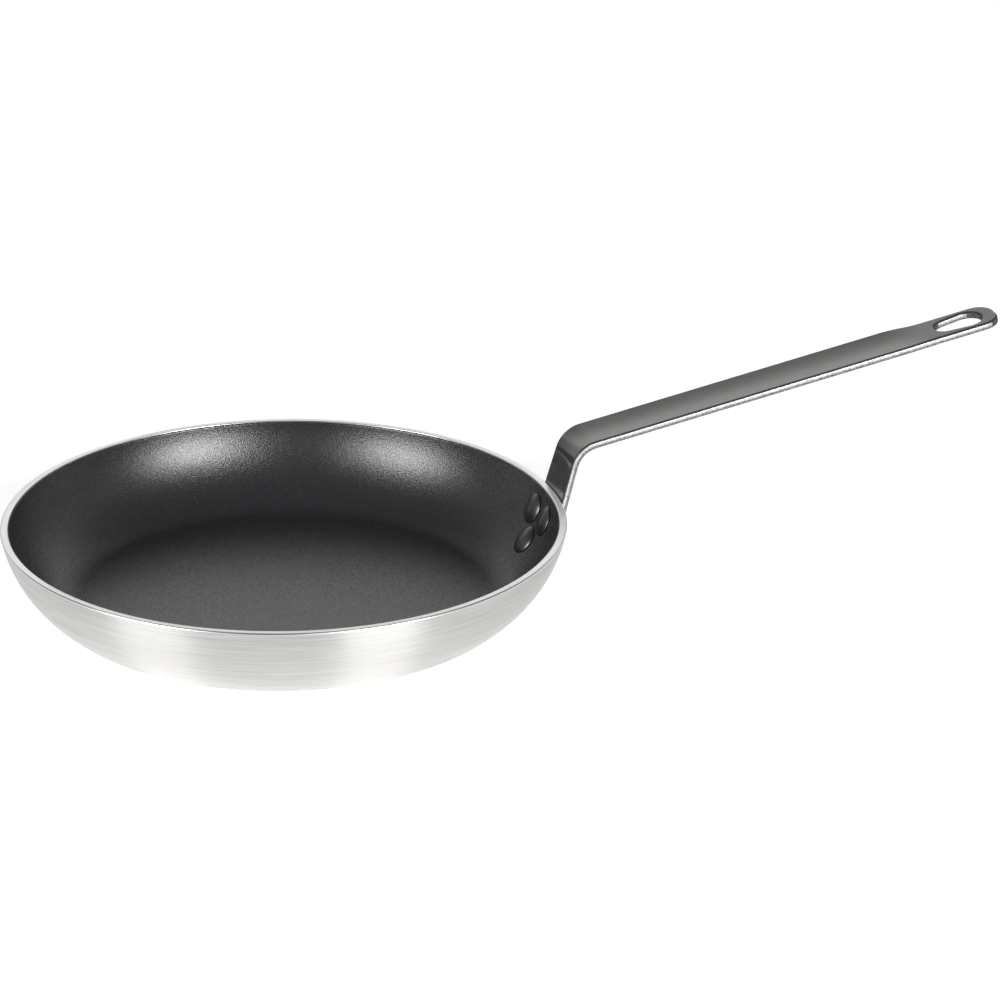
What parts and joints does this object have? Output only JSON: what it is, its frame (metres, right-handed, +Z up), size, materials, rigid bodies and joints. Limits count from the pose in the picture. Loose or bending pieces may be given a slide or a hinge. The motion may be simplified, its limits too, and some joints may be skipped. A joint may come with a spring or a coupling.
{
  "type": "omelette pan",
  "caption": "Shallow round frying pan with flared curved walls, a dark non-stick lining and a long bent strip handle, riveted on, with a hanging slot in its end.",
  "frame": {"origin": "centre of the flat base, on the surface that the pan stands on", "axes": "+Z up out of the bowl, +X along the handle towards its hanging end, +Y to the left of the handle seen from the bowl"},
  "size_m": [0.5138, 0.2798, 0.1145],
  "materials": {
    "body_aluminium": "satin, finely turned round the wall and the base",
    "lining": "satin non-stick coating with a fine speckle",
    "handle_steel": "satin grey lacquer over strip steel, brighter on the sheared edges",
    "rivet": "satin black"
  },
  "bodies": {
    "root": {"pan_body": "body_aluminium", "nonstick_lining": "lining", "handle": "handle_steel", "rivet_upper_left": "rivet", "rivet_upper_right": "rivet", "rivet_lower": "rivet"}
  },
  "joints": []
}
